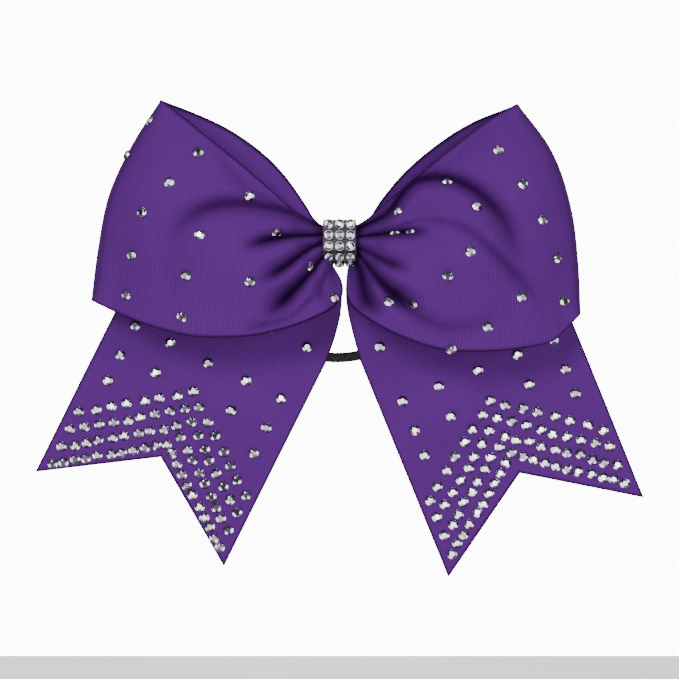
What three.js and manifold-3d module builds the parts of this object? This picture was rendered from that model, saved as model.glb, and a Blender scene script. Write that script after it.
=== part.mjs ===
// A cheer hair bow. One wide grosgrain ribbon is folded into two loops and two dovetailed tails, pinched in the
// middle by a cable tie, and covered there by a ribbon wrap that carries a band of rhinestones. An elastic ring
// passes through the wrap, behind the ribbon, and holds the bow in the hair.
// Millimetres. The bow faces -Y and +Z is up. The origin is the centre of the wrap's flat back.
import * as THREE from "three";
import { mergeVertices } from "three/addons/utils/BufferGeometryUtils.js";
import Module from "manifold-3d";

const wasm = await Module();
wasm.setup();

// Driving dimensions
const RIBBON_WIDTH = 76.2; // a three inch ribbon
const RIBBON_THICKNESS = 0.8; // the ribbon with the film that its stones are glued by
const FIT_GAP = 0.3;
const SLOPE_STEP = 1e-3; // the share of a ribbon over which its slope is measured
const MERGE_DISTANCE = 1e-4;
const TRIM_BLOCK = 40; // the side of the blocks that trim the knot's parts

const KNOT_TOP = 7.2;
const KNOT_BOTTOM = -6.8;
const KNOT_FRONT = -15;
const KNOT_BACK_RADIUS = 2;
const KNOT_TOP_RADIUS = 1.4;
const KNOT_CHIN_RADIUS = 6.4;
const SMALLEST_ROUNDING = 0.4;
const ARC_STEPS = 6;
const WRAP_WIDTH = 12;
const WRAP_THICKNESS = 1;
const CORE_WIDTH = 16;
const CORE_BACK = -5.6;
const TIE_WIDTH = 2.6;
const TIE_THICKNESS = 0.9;

const BAND_THICKNESS = 0.6;
const BAND_END = -9; // how far round the knot the band reaches, top and bottom
const STONE_COLUMNS = 3;
const STONE_ROWS = 5;
const STONE_PITCH = 3.9;
const TOP_ROW_HEIGHT = 6.4;
const BAND_STONE = { foot: 1.8, girdle: 0.7, table: 1.1, height: 1.6, sides: 8 };

const LOOP_SEAM = 15.6; // where a loop leaves the pinched middle, out from the centre
const LOOP_PUFF = 9; // how far the front of a loop swells between its edges
const FOLD_BOW = 6; // how far the outer fold bows out between its corners
const LOOP_STEPS = { along: 28, across: 8 };

// The fans of pleats start at the core, as [y, z] at its foot and head, and the front one wraps under the knot
const PLEAT_START = CORE_WIDTH / 2 + FIT_GAP;
const PLEAT_END = LOOP_SEAM - FIT_GAP - RIBBON_THICKNESS / 2;
const PLEAT_STEPS = { along: 2, across: 6 };
const FRONT_PLEAT_FOOT = [-11, -9];
const FRONT_PLEAT_HEAD = [-13, 5.5];
const FRONT_PLEAT_UNDER = { inner: [1.2, -9.5, -11], outer: [1.4, -13, -21.5] };
const BACK_PLEAT_FOOT = [-8, -5];
const BACK_PLEAT_HEAD = [-8, 5.5];

const TAIL_Y = -6; // the middle of the ribbon's thickness in both tails
const TAIL_HINGE_Z = -47; // the tails bend freely below this line
const TAIL_SHOULDER_Z = -27; // the top of a tail's outer edge, behind the loop
const NOTCH_DEPTH = 25.1;

const CHEVRON_ROWS = 4;
const CHEVRON_PITCH = 7;
const CHEVRON_FIRST = 30.8; // from the tail's root to the first row's apex
const CHEVRON_REACH = 33.6;
const CHEVRON_DROP = 0.75; // how far a row runs down the tail for each millimetre across
const FIRST_ROW_STONES = 7; // on each arm of the first row
const FILM = { width: 1.6, thickness: 0.3 };
const RIBBON_STONE = { foot: 2, girdle: 0.3, table: 1.2, height: 1.4, sides: 6 };

const ELASTIC_THICKNESS = 3.6;
const ELASTIC_Y = -3.1;
const ELASTIC_CORNERS = 8;

// The elastic ring's line, as [x, z], from the middle of its hidden stretch inside the wrap
const ELASTIC_LINE = [
  [0, 0], [9, -0.5], [20, -4], [26, -14], [25, -26], [15, -37.5],
  [-1.5, -41.3], [-17, -37], [-25.5, -26], [-26, -14], [-20, -4], [-9, -0.5],
];
const SHOULDER_SHARE = 0.16; // the share of the ring, each way, that stays with the wrap
const STRAND_SHARE = 0.26; // where the side strands end and the bight begins
const ELASTIC_STEPS = { core: 8, strand: 3, bight: 12 };

// Each side's own shape. q runs outwards from the centre. A loop's edges are [q, y, z] from the front seam,
// round the outer fold, to the back seam. root is the tail's inner edge above its straight part, as [q, z].
const SIDES = {
  left: {
    sign: -1,
    lowerEdge: [
      [LOOP_SEAM, -16, -29.5], [35, -25, -33.8], [62, -26, -31.3], [88.5, -16.5, -20.8],
      [66, -9.5, -22], [40, -8.8, -20], [LOOP_SEAM, -9, -10],
    ],
    upperEdge: [
      [LOOP_SEAM, -15, 10.7], [34, -22, 26.6], [50, -21, 40], [63.7, -15, 50.9],
      [50, -9.5, 46.5], [36, -8.8, 38.3], [LOOP_SEAM, -9, 19.5],
    ],
    root: [[0.5, -9.9], [0.5, -22], [1.6, -34]],
    rootInner: [4.9, -43.1],
    splay: THREE.MathUtils.degToRad(26.6),
    innerLength: 82.3,
  },
  right: {
    sign: 1,
    lowerEdge: [
      [LOOP_SEAM, -16, -29.5], [37, -25, -38.6], [64, -26, -37.5], [86, -16.5, -25.6],
      [66, -9.5, -26], [40, -8.8, -22], [LOOP_SEAM, -9, -10],
    ],
    upperEdge: [
      [LOOP_SEAM, -15, 10], [36, -22, 28.5], [50, -21, 40.5], [63.5, -15, 49.4],
      [48, -9.5, 43.5], [32, -8.8, 33.2], [LOOP_SEAM, -9, 16.5],
    ],
    root: [[0.5, -9.9], [2.2, -20], [3.6, -27.2]],
    rootInner: [7.4, -42.4],
    splay: THREE.MathUtils.degToRad(22.2),
    innerLength: 84.5,
  },
};

const ribbonCloth = () => new THREE.MeshStandardMaterial({ color: 0x5f3882, roughness: 0.7, metalness: 0 });
const nylon = () => new THREE.MeshStandardMaterial({ color: 0xe8e6df, roughness: 0.5, metalness: 0 });
const silver = () => new THREE.MeshStandardMaterial({ color: 0xb9bcc2, roughness: 0.25, metalness: 1 });
const crystal = () => new THREE.MeshStandardMaterial({ color: 0xe9e9f2, roughness: 0.05, metalness: 0.2 });
const blackElastic = () => new THREE.MeshStandardMaterial({ color: 0x101012, roughness: 0.85, metalness: 0 });

// Solids

function solidOf(geometry) {
  const bare = geometry.index ? geometry.toNonIndexed() : geometry.clone();
  bare.deleteAttribute("normal");
  bare.deleteAttribute("uv");
  const merged = mergeVertices(bare, MERGE_DISTANCE);
  return new wasm.Manifold(
    new wasm.Mesh({
      numProp: 3,
      vertProperties: new Float32Array(merged.attributes.position.array),
      triVerts: new Uint32Array(merged.index.array),
    }),
  );
}

function geometryOf(solid) {
  const mesh = solid.getMesh();
  const geometry = new THREE.BufferGeometry();
  geometry.setAttribute("position", new THREE.BufferAttribute(mesh.vertProperties, 3));
  geometry.setIndex(new THREE.BufferAttribute(mesh.triVerts, 1));
  geometry.computeVertexNormals();
  return geometry;
}

// Extrudes a (Y, Z) outline along X, centred on the bow's middle plane.
function acrossBow(outline, width) {
  const turn = new THREE.Matrix4().makeBasis(
    new THREE.Vector3(0, 1, 0),
    new THREE.Vector3(0, 0, 1),
    new THREE.Vector3(1, 0, 0),
  );
  return new THREE.ExtrudeGeometry(new THREE.Shape(outline), { depth: width, bevelEnabled: false })
    .translate(0, 0, -width / 2)
    .applyMatrix4(turn);
}

// Extrudes an (X, Z) outline forwards, from y to y - thickness.
function frontSheet(points, y, thickness) {
  const turn = new THREE.Matrix4().makeBasis(
    new THREE.Vector3(1, 0, 0),
    new THREE.Vector3(0, 0, 1),
    new THREE.Vector3(0, -1, 0),
  );
  return new THREE.ExtrudeGeometry(new THREE.Shape(points), { depth: thickness, bevelEnabled: false })
    .applyMatrix4(turn)
    .translate(0, y, 0);
}

// A ribbon of even thickness whose middle surface is place(along, across), each from 0 to 1.
function ribbonSheet(place, alongSteps, acrossSteps) {
  const positions = [];
  const index = [];
  const columns = acrossSteps + 1;
  const layer = (alongSteps + 1) * columns;
  for (const face of [1, -1]) {
    for (let i = 0; i <= alongSteps; i++) {
      for (let j = 0; j <= acrossSteps; j++) {
        const u = i / alongSteps;
        const v = j / acrossSteps;
        const alongway = place(Math.min(u + SLOPE_STEP, 1), v).sub(place(Math.max(u - SLOPE_STEP, 0), v));
        const crossway = place(u, Math.min(v + SLOPE_STEP, 1)).sub(place(u, Math.max(v - SLOPE_STEP, 0)));
        const normal = alongway.cross(crossway).normalize();
        const point = place(u, v).addScaledVector(normal, (face * RIBBON_THICKNESS) / 2);
        positions.push(point.x, point.y, point.z);
      }
    }
  }
  const quad = (a, b, c, d) => index.push(a, b, c, a, c, d);
  for (let i = 0; i < alongSteps; i++) {
    for (let j = 0; j < acrossSteps; j++) {
      const a = i * columns + j;
      quad(a, a + columns, a + columns + 1, a + 1);
      quad(layer + a, layer + a + 1, layer + a + columns + 1, layer + a + columns);
    }
  }
  for (let i = 0; i < alongSteps; i++) {
    const low = i * columns;
    const high = low + acrossSteps;
    quad(low, layer + low, layer + low + columns, low + columns);
    quad(high, high + columns, layer + high + columns, layer + high);
  }
  for (let j = 0; j < acrossSteps; j++) {
    const last = alongSteps * columns + j;
    quad(j, j + 1, layer + j + 1, layer + j);
    quad(last, layer + last, layer + last + 1, last + 1);
  }
  const geometry = new THREE.BufferGeometry();
  geometry.setAttribute("position", new THREE.BufferAttribute(new Float32Array(positions), 3));
  geometry.setIndex(index);
  return outwards(geometry);
}

// Turns a closed geometry's faces round if they point inwards.
function outwards(geometry) {
  if (solidOf(geometry).volume() < 0) {
    geometry.index.array.reverse();
  }
  geometry.computeVertexNormals();
  return geometry;
}

// A faceted stone in its cup, standing on z = 0.
function stoneGeometry({ foot, girdle, table, height, sides }) {
  const profile = [[0, 0], [foot, 0], [foot, girdle], [table, height], [0, height]];
  return new THREE.LatheGeometry(profile.map(([r, z]) => new THREE.Vector2(r, z)), sides).rotateX(Math.PI / 2);
}

function mesh(name, geometry, material) {
  const made = new THREE.Mesh(geometry, material);
  made.name = name;
  return made;
}

// The middle: core, tie, wrap and band

// The knot's outline in (Y, Z), grown by offset: a flat back, a nearly square top and a rounded chin.
function knotOutline(offset) {
  const corners = [
    { y: offset, z: KNOT_TOP + offset, radius: KNOT_BACK_RADIUS },
    { y: KNOT_FRONT - offset, z: KNOT_TOP + offset, radius: KNOT_TOP_RADIUS },
    { y: KNOT_FRONT - offset, z: KNOT_BOTTOM - offset, radius: KNOT_CHIN_RADIUS },
    { y: offset, z: KNOT_BOTTOM - offset, radius: KNOT_BACK_RADIUS },
  ];
  return corners.flatMap(({ y, z, radius }, quarter) => {
    const rounding = Math.max(radius + offset, SMALLEST_ROUNDING);
    const centreY = y - rounding * (quarter % 3 ? -1 : 1);
    const centreZ = z - rounding * (quarter < 2 ? 1 : -1);
    return Array.from({ length: ARC_STEPS + 1 }, (_, i) => {
      const angle = (Math.PI / 2) * (quarter + i / ARC_STEPS);
      return new THREE.Vector2(centreY + rounding * Math.cos(angle), centreZ + rounding * Math.sin(angle));
    });
  });
}

// A block that covers everything behind y.
function blockBehind(y) {
  const block = new THREE.BoxGeometry(TRIM_BLOCK, TRIM_BLOCK, TRIM_BLOCK);
  return solidOf(block.translate(0, y + TRIM_BLOCK / 2, 0));
}

// The part of the knot's inside that lies in front of back, shrunk by inset.
function knotFilling(inset, back, width) {
  return solidOf(acrossBow(knotOutline(-inset), width)).subtract(blockBehind(back));
}

function ribbonCore() {
  const coreInset = WRAP_THICKNESS + FIT_GAP;
  const waistInset = coreInset + TIE_THICKNESS + FIT_GAP;
  const waistWidth = TIE_WIDTH + 2 * FIT_GAP;
  const block = knotFilling(coreInset, CORE_BACK, CORE_WIDTH);
  const groove = knotFilling(0, 0, waistWidth);
  const waist = knotFilling(waistInset, CORE_BACK - TIE_THICKNESS - 2 * FIT_GAP, CORE_WIDTH / 2);
  return mesh("ribbon_core", geometryOf(block.subtract(groove).add(waist)), ribbonCloth());
}

function cinchTie() {
  const inset = WRAP_THICKNESS + FIT_GAP;
  const back = CORE_BACK - FIT_GAP / 2;
  const outer = knotFilling(inset, back, TIE_WIDTH);
  const inner = knotFilling(inset + TIE_THICKNESS, back - TIE_THICKNESS, TIE_WIDTH + 1);
  return mesh("cinch_tie", geometryOf(outer.subtract(inner)), nylon());
}

function centreWrap() {
  const outer = solidOf(acrossBow(knotOutline(0), WRAP_WIDTH));
  const inner = solidOf(acrossBow(knotOutline(-WRAP_THICKNESS), WRAP_WIDTH + 1));
  return mesh("centre_wrap", geometryOf(outer.subtract(inner)), ribbonCloth());
}

function bandBase() {
  const width = STONE_COLUMNS * STONE_PITCH;
  const outer = solidOf(acrossBow(knotOutline(FIT_GAP + BAND_THICKNESS), width));
  const inner = solidOf(acrossBow(knotOutline(FIT_GAP), width + 1));
  return mesh("band_base", geometryOf(outer.subtract(inner).subtract(blockBehind(BAND_END))), silver());
}

// Places a stone on the band: distance is measured down the band's face from the top row.
function placeOnBand(stone, x, distance) {
  const offset = 2 * FIT_GAP + BAND_THICKNESS;
  const chinRadius = KNOT_CHIN_RADIUS + offset;
  const chinHeight = KNOT_BOTTOM + KNOT_CHIN_RADIUS;
  const roundDistance = Math.max(0, distance - (TOP_ROW_HEIGHT - chinHeight));
  const tilt = roundDistance / chinRadius;
  const straightZ = TOP_ROW_HEIGHT - distance + roundDistance;
  stone.position.set(
    x,
    KNOT_FRONT + KNOT_CHIN_RADIUS - chinRadius * Math.cos(tilt),
    straightZ - chinRadius * Math.sin(tilt),
  );
  stone.rotation.x = Math.PI / 2 + tilt;
  return stone;
}

function bandStones() {
  const group = new THREE.Group();
  for (let row = 0; row < STONE_ROWS; row++) {
    for (let column = 0; column < STONE_COLUMNS; column++) {
      const name = "band_stone_" + (row + 1) + "_" + (column + 1);
      const x = (column - (STONE_COLUMNS - 1) / 2) * STONE_PITCH;
      group.add(placeOnBand(mesh(name, stoneGeometry(BAND_STONE), crystal()), x, row * STONE_PITCH));
    }
  }
  return group;
}

// Loops, and the pleats that lead into them

function edgeCurve(edge, sign) {
  return new THREE.CatmullRomCurve3(edge.map(([q, y, z]) => new THREE.Vector3(sign * q, y, z)));
}

function loopRibbon(name, side) {
  const lower = edgeCurve(side.lowerEdge, side.sign);
  const upper = edgeCurve(side.upperEdge, side.sign);
  const place = (along, across) => {
    const point = lower.getPoint(along).lerp(upper.getPoint(along), across);
    const swell = Math.sin(Math.PI * across);
    const front = Math.sin(Math.PI * Math.min(1, 2 * along));
    point.y -= LOOP_PUFF * swell * front;
    point.x += side.sign * FOLD_BOW * swell * Math.sin(Math.PI * along) ** 4;
    return point;
  };
  return mesh(name, ribbonSheet(place, LOOP_STEPS.along, LOOP_STEPS.across), ribbonCloth());
}

// Follows a polyline of [q, y, z] corners at even steps.
function alongCorners(corners, t, sign) {
  const scaled = t * (corners.length - 1);
  const i = Math.min(Math.floor(scaled), corners.length - 2);
  const [a, b] = [corners[i], corners[i + 1]].map(([q, y, z]) => new THREE.Vector3(sign * q, y, z));
  return a.lerp(b, scaled - i);
}

// A fan of pleats between the core and a loop, ruled from the inner corners to the outer ones.
function pleatFan(name, side, inner, outer) {
  const place = (along, across) =>
    alongCorners(inner, across, side.sign).lerp(alongCorners(outer, across, side.sign), along);
  return mesh(name, ribbonSheet(place, PLEAT_STEPS.along, PLEAT_STEPS.across), ribbonCloth());
}

function frontPleats(name, side) {
  const [, lowY, lowZ] = side.lowerEdge[0];
  const [, highY, highZ] = side.upperEdge[0];
  const { inner, outer } = FRONT_PLEAT_UNDER;
  return pleatFan(
    name,
    side,
    [inner, [PLEAT_START, ...FRONT_PLEAT_FOOT], [PLEAT_START, ...FRONT_PLEAT_HEAD]],
    [outer, [PLEAT_END, lowY, lowZ], [PLEAT_END, highY, highZ]],
  );
}

function backPleats(name, side) {
  const [, lowY, lowZ] = side.lowerEdge.at(-1);
  const [, highY, highZ] = side.upperEdge.at(-1);
  return pleatFan(
    name,
    side,
    [[PLEAT_START, ...BACK_PLEAT_FOOT], [PLEAT_START, ...BACK_PLEAT_HEAD]],
    [[PLEAT_END, lowY, lowZ], [PLEAT_END, highY, highZ]],
  );
}

// Tails

// A place on a tail: across from the centreline towards the bow's centre, along from the tail's root.
function tailPoint(side, across, along) {
  const { sign, splay, rootInner } = side;
  const inwards = across - RIBBON_WIDTH / 2;
  const x = sign * (rootInner[0] - inwards * Math.cos(splay) + along * Math.sin(splay));
  const z = rootInner[1] - inwards * Math.sin(splay) - along * Math.cos(splay);
  return new THREE.Vector2(x, z);
}

// Where a line down the tail crosses the height z.
function tailPointAtHeight(side, across, z) {
  const along = (tailPoint(side, across, 0).y - z) / Math.cos(side.splay);
  return tailPoint(side, across, along);
}

function tailRibbon(name, side) {
  const half = RIBBON_WIDTH / 2;
  const top = TAIL_HINGE_Z - FIT_GAP;
  const outline = [
    tailPointAtHeight(side, half, top),
    tailPoint(side, half, side.innerLength),
    tailPoint(side, 0, side.innerLength - NOTCH_DEPTH),
    tailPoint(side, -half, side.innerLength),
    tailPointAtHeight(side, -half, top),
  ];
  return mesh(name, frontSheet(outline, TAIL_Y + RIBBON_THICKNESS / 2, RIBBON_THICKNESS), ribbonCloth());
}

function tailRoot(name, side) {
  const half = RIBBON_WIDTH / 2;
  const bottom = TAIL_HINGE_Z + FIT_GAP;
  const head = [PLEAT_START, KNOT_TOP - WRAP_THICKNESS];
  const corners = [head, [PLEAT_START, side.root[0][1]], ...side.root];
  const outline = [
    ...corners.map(([q, z]) => new THREE.Vector2(side.sign * q, z)),
    tailPointAtHeight(side, half, bottom),
    tailPointAtHeight(side, -half, bottom),
    tailPointAtHeight(side, -half, TAIL_SHOULDER_Z),
  ];
  return mesh(name, frontSheet(outline, TAIL_Y + RIBBON_THICKNESS / 2, RIBBON_THICKNESS), ribbonCloth());
}

// One V-shaped row of stones on its film of glue, row 0 being the one furthest from the cut end.
function chevronRow(name, side, row) {
  const apex = CHEVRON_FIRST + CHEVRON_PITCH * row;
  const onRow = (across, shift) =>
    tailPoint(side, across, apex + CHEVRON_DROP * Math.abs(across) + shift);
  const filmOutline = [
    onRow(0, -FILM.width / 2),
    onRow(CHEVRON_REACH, -FILM.width / 2),
    onRow(CHEVRON_REACH, FILM.width / 2),
    onRow(0, FILM.width / 2),
    onRow(-CHEVRON_REACH, FILM.width / 2),
    onRow(-CHEVRON_REACH, -FILM.width / 2),
  ];
  const filmBack = TAIL_Y - RIBBON_THICKNESS / 2 - FIT_GAP;
  let solid = solidOf(frontSheet(filmOutline, filmBack, FILM.thickness));
  const perArm = FIRST_ROW_STONES + row;
  for (let i = -perArm; i <= perArm; i++) {
    const place = onRow((i * CHEVRON_REACH) / perArm, 0);
    const stone = stoneGeometry(RIBBON_STONE).rotateX(Math.PI / 2).translate(place.x, filmBack, place.y);
    solid = solid.add(solidOf(stone));
  }
  return mesh(name, geometryOf(solid), crystal());
}

function tailStones(sideName, side) {
  const group = new THREE.Group();
  for (let row = 0; row < CHEVRON_ROWS; row++) {
    group.add(chevronRow("stone_row_" + sideName + "_" + (row + 1), side, row));
  }
  return group;
}

// Elastic

// The stretch of a closed curve between two shares of its length.
class CurveStretch extends THREE.Curve {
  constructor(whole, from, to) {
    super();
    this.whole = whole;
    this.from = from;
    this.to = to;
  }

  getPoint(t, target = new THREE.Vector3()) {
    const share = this.from + (this.to - this.from) * t;
    return this.whole.getPointAt(share - Math.floor(share), target);
  }
}

function elasticTube(name, path, steps) {
  const section = new THREE.Shape(
    Array.from({ length: ELASTIC_CORNERS }, (_, i) => {
      const angle = (2 * Math.PI * (i + 0.5)) / ELASTIC_CORNERS;
      return new THREE.Vector2(Math.cos(angle), Math.sin(angle)).multiplyScalar(ELASTIC_THICKNESS / 2);
    }),
  );
  const geometry = new THREE.ExtrudeGeometry(section, { steps, extrudePath: path, bevelEnabled: false });
  return mesh(name, geometry, blackElastic());
}

function elasticRing() {
  const points = ELASTIC_LINE.map(([x, z]) => new THREE.Vector3(x, ELASTIC_Y, z));
  const ring = new THREE.CatmullRomCurve3(points, true);
  const gap = FIT_GAP / 2 / ring.getLength();
  const piece = (name, from, to, steps) =>
    elasticTube(name, new CurveStretch(ring, from + gap, to - gap), steps);
  return [
    piece("elastic_core", -SHOULDER_SHARE, SHOULDER_SHARE, ELASTIC_STEPS.core),
    piece("elastic_strand_right", SHOULDER_SHARE, STRAND_SHARE, ELASTIC_STEPS.strand),
    piece("elastic_strand_left", 1 - STRAND_SHARE, 1 - SHOULDER_SHARE, ELASTIC_STEPS.strand),
    piece("elastic_bight", STRAND_SHARE, 1 - STRAND_SHARE, ELASTIC_STEPS.bight),
  ];
}

// Assembly

const bow = new THREE.Group();
bow.add(ribbonCore(), cinchTie(), centreWrap(), bandBase(), bandStones());
for (const [name, side] of Object.entries(SIDES)) {
  bow.add(frontPleats("front_pleats_" + name, side));
  bow.add(backPleats("back_pleats_" + name, side));
  bow.add(loopRibbon("loop_" + name, side));
  bow.add(tailRoot("tail_root_" + name, side));
  bow.add(tailRibbon("tail_" + name, side));
  bow.add(tailStones(name, side));
}
bow.add(...elasticRing());

export default bow;
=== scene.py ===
"""A cheer hair bow of wide purple grosgrain ribbon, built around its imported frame.
Metres, with the front facing -Y and +Z up. The origin is the centre of the knot's flat back."""

import math

import bmesh
import bpy
import numpy as np
from mathutils import Matrix, Vector


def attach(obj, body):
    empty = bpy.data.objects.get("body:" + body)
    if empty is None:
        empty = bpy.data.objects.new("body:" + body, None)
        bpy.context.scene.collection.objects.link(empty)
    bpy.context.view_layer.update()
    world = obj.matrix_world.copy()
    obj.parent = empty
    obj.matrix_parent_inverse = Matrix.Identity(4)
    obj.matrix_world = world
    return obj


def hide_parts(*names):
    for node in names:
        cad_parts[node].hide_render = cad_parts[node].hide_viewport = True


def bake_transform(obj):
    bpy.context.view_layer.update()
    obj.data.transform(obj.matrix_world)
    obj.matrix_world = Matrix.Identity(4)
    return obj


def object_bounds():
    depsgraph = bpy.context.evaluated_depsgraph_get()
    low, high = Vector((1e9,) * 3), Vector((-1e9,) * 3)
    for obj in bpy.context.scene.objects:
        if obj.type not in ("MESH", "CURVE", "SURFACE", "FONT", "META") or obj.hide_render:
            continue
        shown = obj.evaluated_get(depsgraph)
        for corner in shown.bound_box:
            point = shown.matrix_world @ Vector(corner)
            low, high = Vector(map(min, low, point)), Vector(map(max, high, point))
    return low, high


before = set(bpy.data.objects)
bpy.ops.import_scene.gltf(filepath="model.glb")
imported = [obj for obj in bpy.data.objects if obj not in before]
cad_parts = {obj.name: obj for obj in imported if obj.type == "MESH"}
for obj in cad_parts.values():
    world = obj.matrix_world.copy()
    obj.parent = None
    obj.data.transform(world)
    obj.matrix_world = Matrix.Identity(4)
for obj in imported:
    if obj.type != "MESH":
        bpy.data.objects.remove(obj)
cad_low, cad_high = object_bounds()

MM = 0.001  # the shapes below are worked out in millimetres
RANDOM = np.random.default_rng(7)

RIBBON_WIDTH = 76.2
RIBBON_THICKNESS = 0.5
RIB_PITCH = 0.9  # from one cross rib of the grosgrain to the next

# The camera and light --------------------------------------------------------------------------------

LENS_MM = 120
SENSOR_MM = 36
MARGIN = 1.1  # the width that the picture shows, over the bow's own
FLOOR_REACH = 0.4
FLOOR_DROP = 0.085  # from the tails' tips down to the floor
SEEN_STRENGTH = 12.0  # the white surround as the camera sees it
LIT_STRENGTH = 0.42  # and as it lights the bow
LIGHTS_AIM = (0, 0, -0.03)
# Each soft lamp: its name, place, size and power.
LIGHTS = [
    ("key", (-0.42, -0.9, 0.5), 0.45, 11.5),
    ("side", (0.8, -0.6, 0.25), 0.35, 4),
    ("front", (0.1, -1.35, -0.2), 0.6, 14),
    ("behind", (0.1, 1.2, 0.25), 0.6, 12),
    ("overhead", (0, 0.1, 1.3), 0.9, 6),
]


def add_camera():
    """A long lens straight in front of the bow, as in a catalogue picture."""
    data = bpy.data.cameras.new("camera")
    data.lens = LENS_MM
    data.sensor_width = SENSOR_MM
    camera = bpy.data.objects.new("camera", data)
    bpy.context.collection.objects.link(camera)
    centre = (cad_low + cad_high) / 2
    shown_width = MARGIN * (cad_high.x - cad_low.x)
    distance = shown_width * LENS_MM / SENSOR_MM
    camera.location = (centre.x, centre.y - distance, centre.z)
    camera.rotation_euler = (math.pi / 2, 0, 0)
    bpy.context.scene.camera = camera


def add_light(name, place, size, power):
    """A round soft lamp turned towards the bow."""
    data = bpy.data.lights.new(name, "AREA")
    data.shape = "DISK"
    data.size = size
    data.energy = power
    light = bpy.data.objects.new(name, data)
    light.location = place
    light.rotation_euler = (Vector(LIGHTS_AIM) - Vector(place)).to_track_quat("-Z", "Y").to_euler()
    bpy.context.collection.objects.link(light)


def add_studio():
    """A white surround that lights the bow dimly, soft lamps round it, and a pale floor well below."""
    world = bpy.data.worlds.new("studio")
    bpy.context.scene.world = world
    world.use_nodes = True
    tree = world.node_tree
    seen = tree.nodes["Background"]
    seen.inputs["Color"].default_value = (1, 1, 1, 1)
    seen.inputs["Strength"].default_value = SEEN_STRENGTH
    dim = tree.nodes.new("ShaderNodeBackground")
    dim.inputs["Color"].default_value = (1, 1, 1, 1)
    dim.inputs["Strength"].default_value = LIT_STRENGTH
    ray = tree.nodes.new("ShaderNodeLightPath")
    choice = tree.nodes.new("ShaderNodeMixShader")
    tree.links.new(ray.outputs["Is Camera Ray"], choice.inputs["Fac"])
    tree.links.new(dim.outputs["Background"], choice.inputs[1])
    tree.links.new(seen.outputs["Background"], choice.inputs[2])
    tree.links.new(choice.outputs["Shader"], tree.nodes["World Output"].inputs["Surface"])
    for lamp in LIGHTS:
        add_light(*lamp)
    points, uv = flat_grid(FLOOR_REACH, cad_low.z - FLOOR_DROP)
    floor = grid_object("floor", points, uv, paper_material())


# Curves and surfaces ---------------------------------------------------------------------------------


def run_along(line):
    """How far along a polyline each of its points lies."""
    return np.r_[0, np.cumsum(np.linalg.norm(np.diff(line, axis=0), axis=1))]


def curve_through(points, samples=600):
    """The smooth curve through the points, as a function from shares of its length to places on it."""
    points = np.array(points, float)
    chord = run_along(points)
    slope = np.gradient(points, chord, axis=0)
    t = np.linspace(0, chord[-1], samples)
    i = np.clip(np.searchsorted(chord, t, side="right") - 1, 0, len(chord) - 2)
    h = (chord[i + 1] - chord[i])[:, None]
    s = (t - chord[i])[:, None] / h
    line = (
        (2 * s**3 - 3 * s**2 + 1) * points[i]
        + (s**3 - 2 * s**2 + s) * h * slope[i]
        + (3 * s**2 - 2 * s**3) * points[i + 1]
        + (s**3 - s**2) * h * slope[i + 1]
    )
    length = run_along(line)

    def place(share):
        at = np.asarray(share, float) * length[-1]
        return np.stack([np.interp(at, length, line[:, k]) for k in range(line.shape[1])], axis=-1)

    return place


def patch(bottom, top, start, end, u, v):
    """The surface between four edge curves. u runs from start to end, and v from bottom to top."""
    us, vs = u[..., None], v[..., None]
    between_sides = (1 - vs) * bottom(u) + vs * top(u)
    between_ends = (1 - us) * start(v) + us * end(v)
    low = (1 - us) * bottom(0) + us * bottom(1)
    high = (1 - us) * top(0) + us * top(1)
    return between_sides + between_ends - ((1 - vs) * low + vs * high)


def smoothstep(low, high, x):
    """0 below low and 1 above high, with a smooth rise between them."""
    t = np.clip((x - low) / (high - low), 0, 1)
    return t * t * (3 - 2 * t)


def distance_to_line(points, line):
    """(distance, share) of each point from the nearest place on an open polyline, all in one plane."""
    best = np.full(points.shape[:-1], np.inf)
    share = np.zeros(points.shape[:-1])
    run = run_along(line)
    for i, step in enumerate(np.diff(run)):
        direction = (line[i + 1] - line[i]) / step
        along = np.clip((points - line[i]) @ direction, 0, step)
        gap = np.linalg.norm(points - line[i] - along[..., None] * direction, axis=-1)
        nearer = gap < best
        best = np.where(nearer, gap, best)
        share = np.where(nearer, (run[i] + along) / run[-1], share)
    return best, share


def grid_object(name, points, uv, material, thickness=0.0, marks=None):
    """A sheet mesh from a grid of points in metres. uv is the ribbon's own flat place, in metres.
    marks are numbers for the material at each point, by attribute name."""
    rows, columns = points.shape[:2]
    corner = np.arange(rows * columns).reshape(rows, columns)
    quads = [corner[:-1, :-1], corner[1:, :-1], corner[1:, 1:], corner[:-1, 1:]]
    faces = np.stack(quads, axis=-1).reshape(-1, 4)
    mesh = bpy.data.meshes.new(name)
    mesh.from_pydata(points.reshape(-1, 3).tolist(), [], faces.tolist())
    layer = mesh.uv_layers.new(name="ribbon")
    layer.data.foreach_set("uv", uv.reshape(-1, 2)[faces.ravel()].astype(np.float32).ravel())
    for mark, values in (marks or {}).items():
        attribute = mesh.attributes.new(mark, "FLOAT", "POINT")
        attribute.data.foreach_set("value", values.ravel().astype(np.float32))
    mesh.shade_smooth()
    mesh.materials.append(material)
    obj = bpy.data.objects.new(name, mesh)
    bpy.context.collection.objects.link(obj)
    if thickness:
        solidify = obj.modifiers.new("thickness", "SOLIDIFY")
        solidify.thickness = thickness
        solidify.offset = 0
        apply_modifiers(obj)
    return obj


def apply_modifiers(obj):
    """Swaps the object's mesh for the one that its modifiers make."""
    graph = bpy.context.evaluated_depsgraph_get()
    made = bpy.data.meshes.new_from_object(obj.evaluated_get(graph))
    old = obj.data
    obj.modifiers.clear()
    obj.data = made
    made.name = obj.name
    bpy.data.meshes.remove(old)


def flat_grid(reach, z):
    """(points, uv) of a level square, reach metres from its middle to each side."""
    across = np.linspace(-reach, reach, 3)
    x, y = np.meshgrid(across, across, indexing="ij")
    points = np.stack([x, y, np.full_like(x, z)], axis=-1)
    return points, points[..., :2]


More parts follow.
